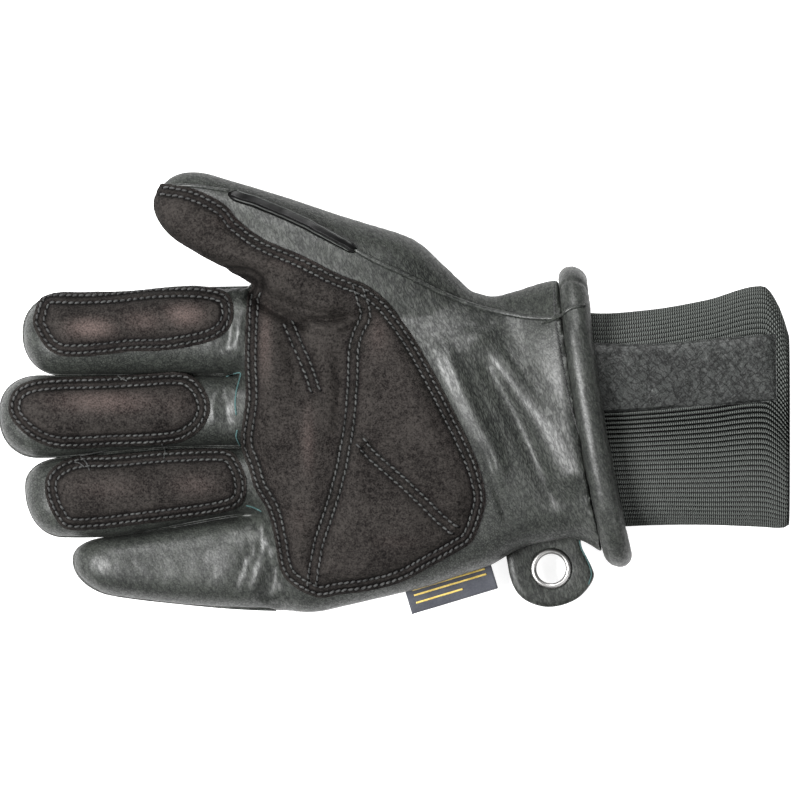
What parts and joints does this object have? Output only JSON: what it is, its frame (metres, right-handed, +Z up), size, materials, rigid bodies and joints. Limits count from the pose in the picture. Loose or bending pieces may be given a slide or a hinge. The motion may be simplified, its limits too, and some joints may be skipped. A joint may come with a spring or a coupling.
{
  "type": "insulated leather work glove with knit wrist",
  "caption": "Right-hand insulated leather glove, palm up, with suede palm and finger patches, thumb wiper blade, rolled hem, ribbed knit wrist and hang tab with eyelet.",
  "frame": {"origin": "on the floor under the middle of the glove, which lies on its back with the palm up", "axes": "+X from the fingertips towards the knit wrist, +Y towards the thumb's side, +Z up out of the palm"},
  "size_m": [0.2988, 0.168, 0.0476],
  "materials": {
    "grain_leather": "satin, fine grain with soft creases",
    "palm_suede": "matt suede with worn reddish brown sheen",
    "wiper_rubber": "semi-gloss",
    "knit": "ribbed knit",
    "cuff_leather": "creased grain",
    "label_weave": "woven tape",
    "eyelet_metal": "polished nickel"
  },
  "bodies": {
    "root": {"index_finger": "grain_leather", "middle_finger": "grain_leather", "ring_finger": "grain_leather", "little_finger": "grain_leather", "thumb": "grain_leather", "palm_shell": "grain_leather", "palm_suede": "palm_suede", "index_suede": "palm_suede", "middle_suede": "palm_suede", "ring_suede": "palm_suede", "thumb_wiper": "wiper_rubber", "hem_roll": "grain_leather", "knit_cuff": "knit", "cuff_patch": "cuff_leather", "hang_tab": "grain_leather", "eyelet": "eyelet_metal", "side_label": "label_weave"}
  },
  "joints": []
}
